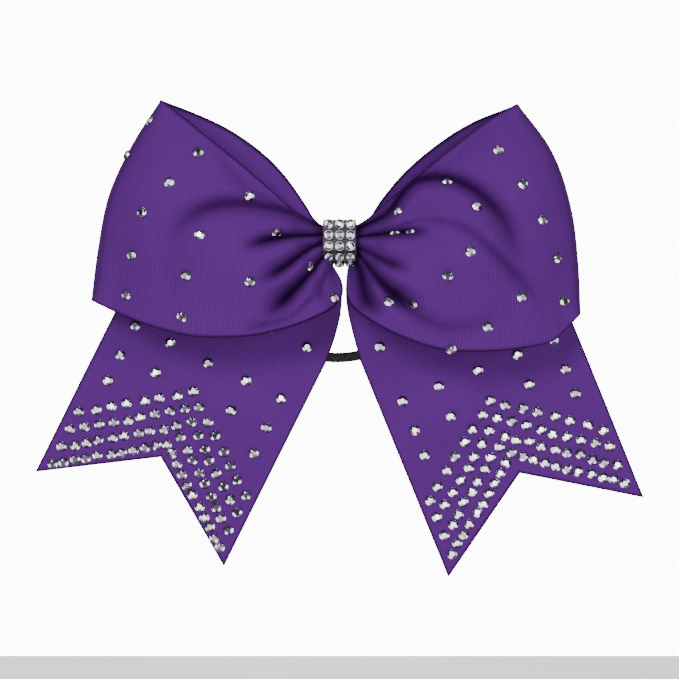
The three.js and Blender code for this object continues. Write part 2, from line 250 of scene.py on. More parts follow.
# Materials -------------------------------------------------------------------------------------------

# The ribbon's purple between its ribs and on them, darker between them as painted shade; then painted shade
# deep in a fold, and painted shade along its edges.
RIBBON_DARK = (0.048, 0.0092, 0.094, 1)
RIBBON_LIGHT = (0.066, 0.0130, 0.127, 1)
RIBBON_FOLD_SHADE = (0.013, 0.0008, 0.028, 1)
RIBBON_EDGE_SHADE = (0.012, 0.002, 0.026, 1)
RIB_BUMP = 0.6  # the strength of the ribs' relief
RIB_BUMP_HEIGHT = 0.00012  # in metres
NET_PITCH = 0.65  # from one thread of the band's net to the next
NYLON_PITCH = 0.5  # from one strand of the cinch tie to the next


class Shader:
    """A node material with one Principled surface, and short calls to add and join nodes."""

    def __init__(self, name, **values):
        self.material = bpy.data.materials.new(name)
        self.material.use_nodes = True
        self.tree = self.material.node_tree
        self.surface = self.tree.nodes["Principled BSDF"]
        for socket, value in values.items():
            self.surface.inputs[socket.replace("_", " ")].default_value = value

    def node(self, kind, inputs=None, **settings):
        made = self.tree.nodes.new("ShaderNode" + kind)
        for key, value in settings.items():
            setattr(made, key, value)
        for key, value in (inputs or {}).items():
            if isinstance(value, bpy.types.NodeSocket):
                self.tree.links.new(value, made.inputs[key])
            else:
                made.inputs[key].default_value = value
        return made

    def join(self, output, socket):
        self.tree.links.new(output, self.surface.inputs[socket])

    def mixed(self, factor, first, second, **settings):
        """The colour between two colours, or sockets, by a factor."""
        mix = self.node("Mix", {0: factor, 6: first, 7: second}, data_type="RGBA", **settings)
        return mix.outputs[2]

    def attribute(self, name):
        return self.node("Attribute", attribute_name=name).outputs["Fac"]

    def noise(self, place, scale, detail):
        inputs = {"Scale": scale, "Detail": detail}
        if place:
            inputs["Vector"] = place
        return self.node("TexNoise", inputs).outputs["Fac"]

    def axis(self, place, name):
        """One coordinate of a place."""
        return self.node("SeparateXYZ", {"Vector": place}).outputs[name]

    def sine(self, distance, pitch):
        """A wave along a distance in metres, with its pitch in millimetres."""
        turns = self.node("Math", {0: distance, 1: 2 * math.pi / (pitch * MM)}, operation="MULTIPLY")
        return self.node("Math", {0: turns.outputs[0]}, operation="SINE").outputs[0]

    def ramp(self, factor, low, high, **ends):
        """0 to 1, or the given To_Min to To_Max, as the factor runs from low to high."""
        inputs = {"Value": factor, "From Min": low, "From Max": high}
        inputs.update({socket.replace("_", " "): value for socket, value in ends.items()})
        return self.node("MapRange", inputs).outputs["Result"]

    def shades(self, factor, dark, light):
        """A colour from a factor, and the colour ramp's own elements to add to."""
        made = self.node("ValToRGB", {"Fac": factor})
        made.color_ramp.elements[0].color = dark
        made.color_ramp.elements[1].color = light
        return made.outputs["Color"], made.color_ramp.elements

    def bump(self, height, strength, distance):
        made = self.node("Bump", {"Height": height, "Strength": strength, "Distance": distance})
        self.join(made.outputs["Normal"], "Normal")


def paper_material():
    shader = Shader("pale_paper", Roughness=0.9)
    colour, _ = shader.shades(shader.noise(None, 60.0, 4.0), (0.92, 0.92, 0.92, 1), (0.96, 0.96, 0.96, 1))
    shader.join(colour, "Base Color")
    return shader.material


def grosgrain(name):
    """The matt polyester surface that the ribbon and the wrap share, with a faint purple sheen."""
    shader = Shader(name, Roughness=0.66, Sheen_Weight=0.04, Sheen_Roughness=0.4)
    shader.surface.inputs["Sheen Tint"].default_value = (0.45, 0.15, 0.75, 1)
    shader.surface.inputs["Specular Tint"].default_value = (0.6, 0.3, 0.8, 1)
    shader.surface.inputs["Specular IOR Level"].default_value = 0.02
    return shader


def ribs(shader, distance, yarn):
    """(height, colour) of the cross ribs along a distance, made uneven by the yarn. The colour is painted
    darker between the ribs, as shade.
    """
    wave = shader.sine(distance, RIB_PITCH)
    height = shader.node("Math", {0: wave, 1: yarn}, operation="ADD").outputs[0]
    return height, shader.mixed(shader.ramp(height, -1.0, 1.8), RIBBON_DARK, RIBBON_LIGHT)


def ribbon_material():
    """Polyester grosgrain: fine ribs across the ribbon, each made of slightly uneven yarns.
    It is painted darker between its ribs, deep in its folds, where the light doesn't reach, and along its
    edges: all painted shade."""
    shader = grosgrain("purple_grosgrain")
    flat = shader.node("UVMap", uv_map="ribbon").outputs["UV"]
    stretched = shader.node("Mapping", {"Vector": flat, "Scale": (1100, 90, 1)})
    yarn = shader.noise(stretched.outputs["Vector"], 1.0, 2.0)
    height, yarns = ribs(shader, shader.axis(flat, "X"), yarn)
    cloudy, _ = shader.shades(shader.noise(flat, 28.0, 3.0), (0.84, 0.80, 0.86, 1), (1.10, 1.06, 1.12, 1))
    dyed_and_rib_shaded = shader.mixed(1.0, yarns, cloudy, blend_type="MULTIPLY")
    # Painted shade: darker deep in the creases and folds by the fold mark, and along the edges by the edge
    # mark.
    fold_shaded = shader.mixed(shader.attribute("fold"), dyed_and_rib_shaded, RIBBON_FOLD_SHADE)
    shader.join(shader.mixed(shader.attribute("edge"), fold_shaded, RIBBON_EDGE_SHADE), "Base Color")
    relief = shader.node("Math", {0: shader.attribute("spread"), 1: RIB_BUMP}, operation="MULTIPLY")
    shader.bump(height, relief.outputs[0], RIB_BUMP_HEIGHT)
    return shader.material


def stone_material():
    """Foil-backed crystal: some facets are painted white highlights, some painted purple-grey reflections and
    the rest dark mirrors, by a per-facet mark.
    """
    shader = Shader("rhinestone", Roughness=0.08, IOR=1.6)
    painted_glint = shader.attribute("painted_glint")
    colour, elements = shader.shades(painted_glint, (0.03, 0.014, 0.05, 1), (1.0, 0.99, 1.0, 1))
    # A painted purple-grey reflection, between the painted dark reflection and the painted white highlight.
    elements.new(0.5).color = (0.32, 0.26, 0.38, 1)
    shader.join(colour, "Base Color")
    shader.join(shader.ramp(painted_glint, 0.3, 0.9, To_Min=0.9, To_Max=0.15), "Metallic")
    return shader.material


def wrap_material():
    """The same grosgrain on the knot's wrap: its ribs run across it, all the way round, painted darker
    between them as shade.
    """
    shader = grosgrain("wrap_grosgrain")
    place = shader.node("TexCoord").outputs["Object"]
    back, up = shader.axis(place, "Y"), shader.axis(place, "Z")
    round_it = shader.node("Math", {0: back, 1: up}, operation="SUBTRACT").outputs[0]
    height, colour = ribs(shader, round_it, shader.noise(place, 900.0, 2.0))
    shader.join(colour, "Base Color")
    shader.bump(height, RIB_BUMP, RIB_BUMP_HEIGHT)
    return shader.material


def net_material():
    """The band's ground: fine dull silver threads crossed over a near-black net."""
    shader = Shader("silver_net", Roughness=0.45, Metallic=0.6)
    diagonal = (math.radians(45), 0, math.radians(45))
    place = shader.node("TexCoord").outputs["Object"]
    place = shader.node("Mapping", {"Vector": place, "Rotation": diagonal}).outputs["Vector"]
    waves = [shader.sine(shader.axis(place, axis), NET_PITCH) for axis in ("X", "Z")]
    crossed = shader.node("Math", {0: waves[0], 1: waves[1]}, operation="MAXIMUM").outputs[0]
    threads = shader.ramp(crossed, 0.75, 1.0)
    shader.join(shader.mixed(threads, (0.008, 0.007, 0.010, 1), (0.13, 0.125, 0.135, 1)), "Base Color")
    shader.bump(threads, 0.8, 0.0001)
    return shader.material


def cup_material():
    """Plated stone settings: bright silver, a little uneven and dulled."""
    shader = Shader("silver_cup", Metallic=1.0)
    noise = shader.noise(shader.node("TexCoord").outputs["Object"], 1200.0, 2.0)
    shader.join(shader.mixed(noise, (0.17, 0.16, 0.17, 1), (0.42, 0.405, 0.42, 1)), "Base Color")
    shader.join(shader.ramp(noise, 0.0, 1.0, To_Min=0.18, To_Max=0.4), "Roughness")
    return shader.material


def nylon_material():
    """The cinching tie: clear-coated nylon strands laid side by side, painted darker between them as shade.
    """
    shader = Shader("nylon_strands", Roughness=0.35)
    strands = shader.sine(shader.axis(shader.node("TexCoord").outputs["Object"], "X"), NYLON_PITCH)
    # Painted shade, darker between the strands.
    strand_shade = shader.ramp(strands, -1.0, 1.0)
    shader.join(shader.mixed(strand_shade, (0.50, 0.49, 0.45, 1), (0.78, 0.77, 0.72, 1)), "Base Color")
    shader.bump(strands, 0.8, 0.0002)
    return shader.material


def elastic_material():
    """Black braided elastic: the braid is in the mesh, and its threads are in the material, painted darker in
    the grooves between the strands as shade.
    """
    shader = Shader("braided_elastic", Roughness=0.7)
    shader.surface.inputs["Specular IOR Level"].default_value = 0.15
    flat = shader.node("UVMap", uv_map="ribbon").outputs["UV"]
    stretched = shader.node("Mapping", {"Vector": flat, "Scale": (700, 3500, 1)})
    fibre = shader.noise(stretched.outputs["Vector"], 1.0, 3.0)
    # Painted shade: the fibre's tone is darkened in the grooves between the braid's strands.
    groove_shaded_fibre = shader.node("Math", {0: fibre, 1: shader.attribute("strand")}, operation="MULTIPLY").outputs[0]
    shader.join(shader.mixed(groove_shaded_fibre, (0.002, 0.002, 0.002, 1), (0.016, 0.014, 0.017, 1)), "Base Color")
    shader.bump(fibre, 0.5, 0.00008)
    return shader.material


# The loops -------------------------------------------------------------------------------------------

ROOT_X = 4.5  # where the ribbon comes out of the wrap
LOOP_STEPS = 240  # round the loop
LOOP_ACROSS_STEPS = 110
BACK_Y = -9.0  # the plane of the loop's back half, which the front half swells from
EDGE_SHADE_REACH = 0.9  # how far in from its edge the ribbon is darkened by painted shade
# The same reach on the loop's back half, whose edge gets a wider painted shadow.
BACK_EDGE_SHADE_REACH = 1.6
OUTER_FOLD_SHADE = 0.45  # how dark the painted shade along the outer fold's crease is

# Each loop as it is seen from the front, in millimetres from the knot's centre: x outwards, z up.
# Edges run from the knot to the outer fold. A crease is a line that the ribbon sinks along, then its
# depth, its width and how dark the painted shade along it is, each at its start and its end. A negative depth
# is a ridge.
LOOPS = {
    "left": {
        "sign": -1,
        "front_bottom": [
            (4.5, -5.5), (2.2, -9), (-0.6, -14), (-1.1, -18), (1.5, -22.6), (9, -27), (18, -30.5),
            (30, -33.3), (41, -34), (53, -33.4), (64, -30.8), (80, -24.8), (88.5, -20.8),
        ],
        "front_top": [(4.5, 5.5), (9, 7.5), (16, 11), (26, 19.5), (37, 29), (50, 39.5), (63.7, 50.9)],
        "back_bottom": [(4.5, -4.5), (16, -10), (40, -20), (66, -22.5), (88.5, -20.8)],
        "back_top": [(4.5, 5), (8.7, 8.3), (12.3, 14), (23, 28), (39.5, 40.7), (52, 46.6), (63.7, 50.9)],
        "fold": [(88.5, -20.8), (86.2, -2.6), (82.2, 17), (74.4, 34), (63.7, 50.9)],
        "creases": [
            (
                [
                    (5, 5), (12, 7.6), (20, 10.8), (30, 12.7), (41, 12.8), (48, 11), (54, 7.5), (59, 2),
                    (63, -4),
                ],
                (4.5, 3.2), (1.5, 3.4), (0.75, 0.8),
            ),
            ([(4, 2.7), (14, 2), (22, 0.9), (36, -3.5)], (5, 6), (0.9, 2.3), (1.0, 1.3)),
            ([(4, 0.5), (10, -2), (16, -6.6), (21.5, -10.6), (30, -16)], (5, 6.5), (0.9, 2.7), (1.0, 1.2)),
            ([(4, -2.7), (8.9, -8.7), (12.7, -13.4), (17.8, -18.5), (27, -29)], (5, 9), (0.9, 3.6), (1, 1.5)),
            ([(10, -21), (17.8, -27.3), (27, -30), (37, -33)], (1.5, 2), (1.5, 2.2), (0.25, 0.45)),
            ([(3, -9), (5.5, -14), (7, -19), (7, -24)], (1.5, 1.5), (1.4, 2), (0.3, 0.2)),
            ([(44, 33), (31, 18), (20, 11), (12, 7.8)], (1.5, 2.5), (3, 3), (0.1, 0.25)),
        ],
        "puff": {"centre": (34, -8), "reach": (20, 15), "height": 5.0},
    },
    "right": {
        "sign": 1,
        "front_bottom": [
            (4.5, -5.5), (3.2, -9), (2.6, -14), (2.6, -19), (5, -23.5), (11, -28), (22, -33.8),
            (37, -38.4), (48, -38.9), (66, -37.5), (76, -35), (82, -29.5), (86, -25.4),
        ],
        "front_top": [
            (4.5, 5.5), (10, 8.5), (17, 14), (25, 21), (34, 28.2), (45, 37), (52, 42.3), (63.5, 49.4),
        ],
        "back_bottom": [(4.5, -4.5), (16, -10), (40, -22), (66, -26), (86, -25.4)],
        "back_top": [
            (4.5, 5), (9.1, 7.5), (15, 15.5), (22.3, 24.3), (32.6, 33.5), (47.3, 43.1), (63.5, 49.4),
        ],
        "fold": [(86, -25.4), (85.2, -8), (82.7, 12), (76, 32), (63.5, 49.4)],
        "creases": [
            (
                [
                    (6, 4.6), (13, 7.6), (17, 9.6), (21, 15), (26, 20.6), (33, 22.5), (40, 21.6),
                    (46, 18.8), (53, 13), (58, 7), (61, 0), (64, -8), (66, -16),
                ],
                (5.5, 3), (1.5, 3.4), (1.2, 0.9),
            ),
            ([(4, 1.9), (14, 2.4), (22, 2.9), (33, 3.4)], (4, 7), (0.8, 2.0), (0.8, 1.5)),
            (
                [(5, 3.7), (17, 7.0), (34, 8.9), (45, 6.6), (55, -1.5), (63, -10), (69, -17)],
                (-1.5, -2), (1.6, 5), (0, 0),
            ),
            ([(5, -0.6), (10, -3.6), (16.5, -7.3), (26, -11)], (4, 4), (1.0, 2.6), (0.8, 0.9)),
            (
                [(4, -1), (8, -5.6), (12, -11), (15.8, -15.3), (20, -19.2), (30, -27)],
                (5, 9), (0.9, 3.0), (1.0, 1.5),
            ),
            ([(4.5, -5), (7, -9.5), (8, -14), (9, -19), (16, -28)], (5, 5), (2.2, 3.6), (1.3, 0.9)),
            (
                [
                    (22, 5.4), (30, 6.8), (38, 6.2), (45, 3.4), (50, -0.6), (56, -6), (62, -12), (69, -20),
                    (74, -27),
                ],
                (1, 2.2), (1.2, 2.6), (0.1, 0.9),
            ),
            (
                [(22, -19), (27, -26), (34, -30), (42, -31), (52, -28), (60, -20)],
                (2.5, 1), (2.4, 3.6), (0.5, 0.2),
            ),
            ([(52, 38), (38, 27), (28, 20)], (1, 2), (3, 3), (0.1, 0.2)),
        ],
        "puff": {"centre": (38, -6), "reach": (19, 14), "height": 4.5},
    },
}

PLAN_REACH = 85  # how far out the loop plan's whole share is
# How far forward a loop stands, as (share of the way out, y), from the knot round the fold and back.
LOOP_PLAN = [
    (0.0, -10.5), (0.06, -14), (0.18, -22), (0.36, -30.5), (0.56, -32.5), (0.76, -29), (0.92, -22.5),
    (0.995, -15.5), (0.93, -10.8), (0.76, -9), (0.5, -8.4), (0.25, -8.2), (0.0, -7.6),
]
EDGES = ("front_bottom", "front_top", "back_bottom", "back_top", "fold")
RELAXING_PASSES = 160
CREASE_POINTS = 24
CREASE_FADE = 0.6  # the share of a crease's length after which it dies away


def sink(points, creases):
    """(how far the creases push each (x, z) point back, how dark its painted shade in them is from 0 to 1).
    """
    pushed = np.zeros(points.shape[:-1])
    fold = np.zeros(points.shape[:-1])
    for line, depth, width, shade in creases:
        gap, share = distance_to_line(points, curve_through(line)(np.linspace(0, 1, CREASE_POINTS)))
        widths = gap / np.interp(share, (0, 1), width)
        across = np.exp(-(widths**1.3)) * (1 - smoothstep(1.6, 2.4, widths))
        fade = across * (1 - smoothstep(CREASE_FADE, 1, share))
        pushed += np.interp(share, (0, 1), depth) * fade
        fold = np.maximum(fold, np.interp(share, (0, 1), shade) * fade)
    return pushed, np.clip(fold, 0, 1)


def relaxed(grid, v):
    """The grid with its inner points evened out along the ribbon, its edges kept."""
    inner = smoothstep(0, 0.12, np.minimum(v, 1 - v))[None, :, None]
    for _ in range(RELAXING_PASSES):
        evened = grid.copy()
        evened[1:-1] = (grid[:-2] + 2 * grid[1:-1] + grid[2:]) / 4
        grid = grid + inner * (evened - grid)
    return grid


def upright(low, high):
    """The ribbon's pinched end as an edge curve, from low to high at the wrap's side."""
    return lambda t: np.stack([np.full_like(t, ROOT_X), low + (high - low) * t], axis=-1)


def loop_plan():
    """(distance along, share of the way out, y) at each step round a loop."""
    track = curve_through(LOOP_PLAN)(np.linspace(0, 1, 2000)) * np.array([PLAN_REACH, 1])
    run = run_along(track)
    along = np.linspace(0, run[-1], LOOP_STEPS + 1)
    return along, np.interp(along, run, track[:, 0]) / PLAN_REACH, np.interp(along, run, track[:, 1])[:, None]


def width_between_edges(points):
    """How wide the gathered ribbon stands at each step along it."""
    return np.linalg.norm(points[:, -1] - points[:, 0], axis=-1)[:, None]


def spread_share(points):
    """How far the gathered ribbon is spread to its full width, from 0 to 1. Its ribs crowd where it isn't."""
    return np.broadcast_to(np.clip(width_between_edges(points) / RIBBON_WIDTH, 0, 1) ** 2, points.shape[:2])


def edge_shade_mask(v, width=RIBBON_WIDTH, reach=EDGE_SHADE_REACH):
    """1 on the ribbon's two selvedges, where painted shade darkens them, falling to 0 over reach millimetres.
    """
    return 1 - smoothstep(0.35 * reach, reach, np.minimum(v, 1 - v) * width)


def loop_surface(shape):
    """(points in millimetres, flat uv in metres, marks, steps to the fold, flat length) of one loop.
    Its grid runs from the knot out along the front, round the fold, and back behind."""
    along, out, y = loop_plan()
    front_steps = int(np.argmax(out)) + 1
    is_front = (np.arange(LOOP_STEPS + 1) < front_steps)[:, None]
    v = np.linspace(0, 1, LOOP_ACROSS_STEPS + 1)
    u_grid, v_grid = np.meshgrid(out / out.max(), v, indexing="ij")
    front_bottom, front_top, back_bottom, back_top, fold = (curve_through(shape[name]) for name in EDGES)
    front = patch(front_bottom, front_top, upright(-5.5, 5.5), fold, u_grid, v_grid)
    back = patch(back_bottom, back_top, upright(-4.5, 5.0), fold, u_grid, v_grid)
    front[:front_steps] = relaxed(front[:front_steps], v)
    flat = np.where(is_front[..., None], front, back)

    swell = 0.70 + 0.30 * np.sin(np.pi * v_grid) ** 0.8
    depth = np.where(is_front, BACK_Y + (y - BACK_Y) * swell, y)
    near_fold = smoothstep(0.9, 1, u_grid)
    depth = depth * (1 - near_fold) + y * near_fold
    puff = shape["puff"]
    offset = (front - np.array(puff["centre"])) / np.array(puff["reach"])
    mound = puff["height"] * np.exp(-np.sum(offset**2, axis=-1))
    pushed, shade = sink(front, shape["creases"])
    depth = depth + np.where(is_front, (pushed - mound) * (1 - near_fold), 0)

    points = np.stack([shape["sign"] * flat[..., 0], depth, flat[..., 1]], axis=-1)
    uv = np.stack(np.broadcast_arrays(along[:, None] * MM, v_grid * RIBBON_WIDTH * MM), axis=-1)
    span = width_between_edges(points)
    # Painted shade in the front's creases and along the outer fold's crease, and painted shade along the
    # edges.
    fold_line_shade = OUTER_FOLD_SHADE * smoothstep(0.985, 1, u_grid)
    marks = {
        "fold": np.maximum(np.where(is_front, shade, 0), fold_line_shade),
        "edge": np.where(is_front, edge_shade_mask(v_grid, span), edge_shade_mask(v_grid, span, BACK_EDGE_SHADE_REACH)),
        "spread": spread_share(points),
    }
    return points, uv, marks, front_steps, along[-1]


def blend_loop(obj):
    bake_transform(obj)


def add_loop(side, material):
    """One loop of ribbon. Returns the points of its front half, for its stones."""
    points, uv, marks, front_steps, length = loop_surface(LOOPS[side])
    loop = grid_object("loop_ribbon_" + side, points * MM, uv, material, RIBBON_THICKNESS * MM, marks)
    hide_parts("loop_" + side, "front_pleats_" + side, "back_pleats_" + side)
    blend_loop(loop)
    return points[:front_steps]


# The tails -------------------------------------------------------------------------------------------

TAIL_Y = -6.0
ROOT_LENGTH = 58.0  # of ribbon, from the knot down to where the tail lies flat
NOTCH_DEPTH = 25.1
ROOT_STEPS, FLAT_STEPS, TAIL_ACROSS_STEPS = 60, 90, 70
ROOT_PLEATS = 4.5  # across the ribbon where it leaves the knot
PLEAT_DEPTH = 1.1
WAVE_HEIGHT = 0.9  # of the tail's slight ripple

# Each tail's inner edge: its curved root, then a straight stretch down from inner_start, splayed outwards.
TAILS = {
    "left": {
        "sign": -1, "splay": math.radians(26.6), "inner_start": (4.9, -43.1), "inner_length": 82.3,
        "inner_root": [(4.5, -6), (1.2, -12), (-0.8, -18), (-0.6, -24), (1.6, -34), (4.9, -43.1)],
    },
    "right": {
        "sign": 1, "splay": math.radians(22.2), "inner_start": (7.4, -42.4), "inner_length": 84.5,
        "inner_root": [(4.5, -6), (3.2, -12), (2.3, -18), (3.0, -25), (4.6, -32), (7.4, -42.4)],
    },
}


def tail_point(tail, across, along):
    """A place on a tail's flat part as (x outwards, z). across is from the centreline, inwards positive."""
    inwards = across - RIBBON_WIDTH / 2
    x = tail["inner_start"][0] - inwards * math.cos(tail["splay"]) + along * math.sin(tail["splay"])
    z = tail["inner_start"][1] - inwards * math.sin(tail["splay"]) - along * math.cos(tail["splay"])
    return np.stack(np.broadcast_arrays(x, z), axis=-1)


def tail_root(tail, u_grid, v_grid):
    """The tail's part behind the loop, which spreads from the pinched knot to the ribbon's full width."""
    outer_x, outer_z = tail_point(tail, -RIBBON_WIDTH / 2, 0.0)
    outer = curve_through([(4.5, 5), (16, 6), (36, 4), (outer_x - 12, outer_z + 5), (outer_x, outer_z)])
    return patch(
        outer, curve_through(tail["inner_root"]), upright(5, -6),
        lambda t: tail_point(tail, RIBBON_WIDTH * (t - 0.5), 0.0), u_grid, v_grid,
    )


def tail_surface(tail):
    """(points in millimetres, flat uv in metres, marks, flat length) of one tail, from the knot down."""
    half = RIBBON_WIDTH / 2
    v = np.linspace(0, 1, TAIL_ACROSS_STEPS + 1)
    u_grid, v_grid = np.meshgrid(np.linspace(0, 1, ROOT_STEPS + 1), v, indexing="ij")
    across = RIBBON_WIDTH * v - half
    reach = tail["inner_length"] - NOTCH_DEPTH * (1 - np.abs(across) / half)
    w_grid, across_grid = np.meshgrid(np.linspace(0, 1, FLAT_STEPS + 1)[1:], across, indexing="ij")
    along_flat = w_grid * reach
    plan = np.concatenate([tail_root(tail, u_grid, v_grid), tail_point(tail, across_grid, along_flat)])
    along = np.concatenate([u_grid * ROOT_LENGTH, ROOT_LENGTH + along_flat])
    width = np.broadcast_to(v * RIBBON_WIDTH, along.shape)

    y = TAIL_Y + WAVE_HEIGHT * np.sin(along / 19.0 + 1.3 * np.sin(width / 24.0)) * smoothstep(40, 90, along)
    y[: ROOT_STEPS + 1] += PLEAT_DEPTH * np.cos(v_grid * 2 * math.pi * ROOT_PLEATS) * np.exp(-u_grid * 3.2)
    points = np.stack([tail["sign"] * plan[..., 0], y, plan[..., 1]], axis=-1)
    # Painted shade: darker near the knot, under the loops, and along the edges and the cut end.
    cut_edge_shade = 1 - smoothstep(0.4, 1.2, ROOT_LENGTH + reach - along)
    marks = {
        "fold": 0.4 * np.exp(-along / 10),
        "edge": np.maximum(edge_shade_mask(width / RIBBON_WIDTH), cut_edge_shade),
        "spread": spread_share(points),
    }
    return points, np.stack([along, width], axis=-1) * MM, marks, ROOT_LENGTH + tail["inner_length"]


def blend_tail(obj):
    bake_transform(obj)


def add_tail(side, material):
    """One tail. Returns its points, for its stones."""
    points, uv, marks, length = tail_surface(TAILS[side])
    ribbon = grid_object("tail_ribbon_" + side, points * MM, uv, material, RIBBON_THICKNESS * MM, marks)
    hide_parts("tail_" + side, "tail_root_" + side)
    blend_tail(ribbon)
    return points


# The elastic ring ------------------------------------------------------------------------------------

ELASTIC_Y = -3.1
ELASTIC_THICKNESS = 3.6
ELASTIC_RINGS, ELASTIC_SIDES = 760, 32
PLAITS = 8
PLAIT_PITCH = 7.2
PLAIT_RELIEF = 0.10  # of the radius
# The ring's line seen from the front, in millimetres: down the right, round the bottom and up the left.
ELASTIC_LINE = [
    (0, 0), (9, -0.5), (20, -4), (26, -14), (25, -26), (15, -37.5), (-1.5, -41.3), (-17, -37), (-25.5, -26),
    (-26, -14), (-20, -4), (-9, -0.5),
]


def closed_curve(points, samples, steps=60):
    """(places all the way round, length) of the smooth closed curve through the points."""
    points = np.array(points, float)
    t = np.linspace(0, 1, steps, endpoint=False)[:, None]
    places = []
    for i in range(len(points)):
        p = [points[(i + k) % len(points)] for k in (-1, 0, 1, 2)]
        gap = [np.linalg.norm(p[k + 1] - p[k]) ** 0.5 for k in range(3)]
        pull = [(p[k + 1] - p[k]) / gap[k] for k in range(3)]
        slopes = [
            gap[1] * (pull[k] - (p[k + 2] - p[k]) / (gap[k] + gap[k + 1]) + pull[k + 1]) for k in (0, 1)
        ]
        places.append(
            (2 * t**3 - 3 * t**2 + 1) * p[1] + (t**3 - 2 * t**2 + t) * slopes[0]
            + (3 * t**2 - 2 * t**3) * p[2] + (t**3 - t**2) * slopes[1]
        )
    line = np.concatenate(places + [points[:1]])
    run = run_along(line)
    at = np.linspace(0, run[-1], samples)
    return np.stack([np.interp(at, run, line[:, k]) for k in (0, 1)], axis=-1), run[-1]


def add_elastic(material):
    """A braided ring whose two ends meet inside the knot."""
    line, length = closed_curve(ELASTIC_LINE, ELASTIC_RINGS + 1)
    centre = np.stack([line[:, 0], np.full(len(line), ELASTIC_Y), line[:, 1]], axis=-1)[1:-1]
    forward = np.gradient(centre, axis=0)
    forward /= np.linalg.norm(forward, axis=1)[:, None]
    front = np.array([0.0, -1.0, 0.0])
    outwards = np.cross(forward, front)
    angle = np.linspace(0, 2 * math.pi, ELASTIC_SIDES + 1)
    run = np.linspace(0, length, len(centre))[:, None]
    turn = 2 * math.pi * run / PLAIT_PITCH * PLAITS / 4
    crossing = [np.sin(PLAITS / 2 * angle[None] + way * turn) for way in (1, -1)]
    strand = np.clip(0.5 + 0.5 * np.maximum(*crossing), 0, 1)
    radius = ELASTIC_THICKNESS / 2 * (1 - PLAIT_RELIEF + PLAIT_RELIEF * strand)
    points = centre[:, None] + radius[..., None] * (
        np.cos(angle)[None, :, None] * front + np.sin(angle)[None, :, None] * outwards[:, None]
    )
    uv = np.stack(np.broadcast_arrays(run, angle[None] * ELASTIC_THICKNESS / 2), axis=-1)
    ring = grid_object("elastic_ring_cord", points * MM, uv * MM, material, marks={"strand": strand})
    close_tube(ring)
    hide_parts("elastic_core", "elastic_strand_left", "elastic_strand_right", "elastic_bight")
    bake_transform(ring)


def close_tube(obj):
    """Joins the tube's long seam and caps both its ends."""
    shape = bmesh.new()
    shape.from_mesh(obj.data)
    bmesh.ops.remove_doubles(shape, verts=shape.verts, dist=1e-6)
    bmesh.ops.holes_fill(shape, edges=shape.edges)
    bmesh.ops.recalc_face_normals(shape, faces=shape.faces)
    shape.to_mesh(obj.data)
    shape.free()


# Rhinestones -----------------------------------------------------------------------------------------

STONE_RADIUS = 1.85
STONE_HEIGHT = 1.1
STONE_CORNERS = 8
SPIN = 0.3  # radians that a stone may be turned by, either way
# Where a stone's two sectors of painted highlight lie, as (azimuth, half width) in radians.
PAINTED_GLINT_SECTORS = {
    "left": ((3.5, 0.45), (-0.35, 0.40)),
    "right": ((3.75, 0.62), (-0.30, 0.30)),
    "band": ((2.3, 0.8), (-0.9, 0.6)),
}
# Painted reflection tones of a stone's table, one picked at random, and of its low wall.
TABLE_REFLECTION_TONES = (0.05, 0.2, 0.35, 0.6)
WALL_REFLECTION_TONE = 0.3


def ring_of(radius, z, count, shift=0):
    """Points round a circle. shift is a share of one step."""
    turns = [2 * math.pi * (i + shift) / count for i in range(count)]
    return [(radius * math.cos(turn), radius * math.sin(turn), z) for turn in turns]


def stone_shape(radius, height):
    """(vertices, faces) of a flat-backed brilliant: table, star, kite and girdle facets over a low wall."""
    corners, rim = STONE_CORNERS, 2 * STONE_CORNERS
    vertices = (
        ring_of(0.50 * radius, height, corners)
        + ring_of(0.76 * radius, 0.80 * height, corners, 0.5)
        + ring_of(radius, 0.38 * height, rim)
        + ring_of(radius * 0.97, 0, rim)
    )
    star, girdle, foot = corners, 2 * corners, 4 * corners
    faces = [tuple(range(corners))]
    for i in range(corners):
        before, after = (i - 1) % corners, (i + 1) % corners
        kite, point, after_kite = girdle + 2 * i, girdle + 2 * i + 1, girdle + (2 * i + 2) % rim
        faces.append((i, star + i, after))
        faces.append((i, star + before, kite, star + i))
        faces.append((star + i, kite, point))
        faces.append((star + i, point, after_kite))
    for i in range(rim):
        after = (i + 1) % rim
        faces.append((girdle + i, foot + i, foot + after, girdle + after))
    faces.append(tuple(foot + i for i in reversed(range(rim))))
    return np.array(vertices), faces


def painted_facet_tones(vertices, faces, glints):
    """How brightly each facet of one stone is painted: two sectors of painted highlight, and painted dark
    reflection between them.
    """
    centres = np.array([vertices[list(face)].mean(axis=0) for face in faces])
    azimuth = np.arctan2(centres[:, 1], centres[:, 0])
    tones = 0.25 * RANDOM.uniform(0, 1, len(faces))
    for middle, spread in glints:
        middle = middle + RANDOM.normal(0, 0.3)
        apart = np.abs((azimuth - middle + math.pi) % (2 * math.pi) - math.pi)
        sector = spread * RANDOM.uniform(0.7, 1.3)
        tones = np.maximum(tones, 1.0 - smoothstep(0.7, 1.3, apart / sector))
    tones[0] = RANDOM.choice(TABLE_REFLECTION_TONES)
    tones[centres[:, 2] < 0.3 * vertices[:, 2].max()] = WALL_REFLECTION_TONE
    return tones


